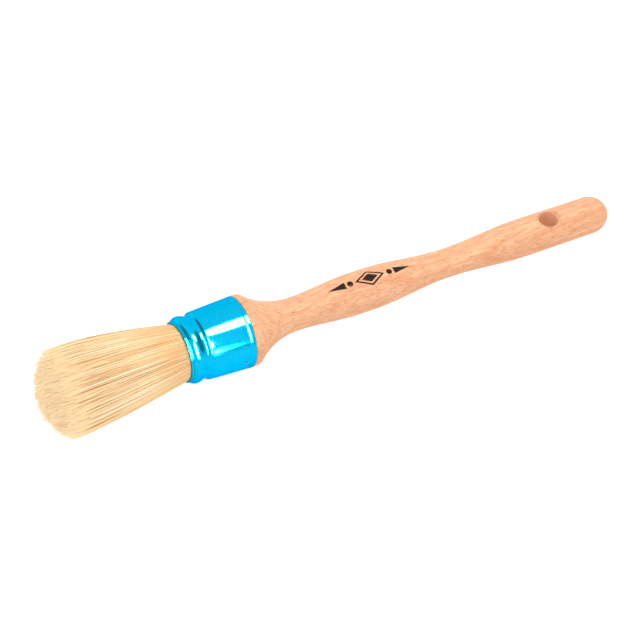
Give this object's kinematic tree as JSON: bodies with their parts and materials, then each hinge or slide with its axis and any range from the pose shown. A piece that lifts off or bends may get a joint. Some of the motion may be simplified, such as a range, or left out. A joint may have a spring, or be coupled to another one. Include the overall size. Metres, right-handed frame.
{
  "type": "round stencil brush",
  "caption": "Round stencil brush with a turned beech handle, a beaded blue metal ferrule, a domed tuft of natural bristle and a hanging hole.",
  "frame": {"origin": "centre of the hanging hole, on the brush's own axis", "axes": "+X along the brush, from the tuft towards the butt end; +Z along the hanging hole; +Y to the side"},
  "size_m": [0.265, 0.0374, 0.0374],
  "materials": {
    "beech": "satin lacquered steamed beech with fine flecks",
    "blue_metal": "glossy blue anodised aluminium sheet",
    "bristle": "blond natural bristle with paler split tips",
    "resin": "hard amber setting resin",
    "plug_wood": "raw sawn wood",
    "brad_steel": "bright steel wire"
  },
  "bodies": {
    "root": {"handle": "beech", "ferrule": "blue_metal", "bristle_tuft": "bristle", "resin_setting": "resin", "core_plug": "plug_wood", "ferrule_brads": "brad_steel"}
  },
  "joints": []
}
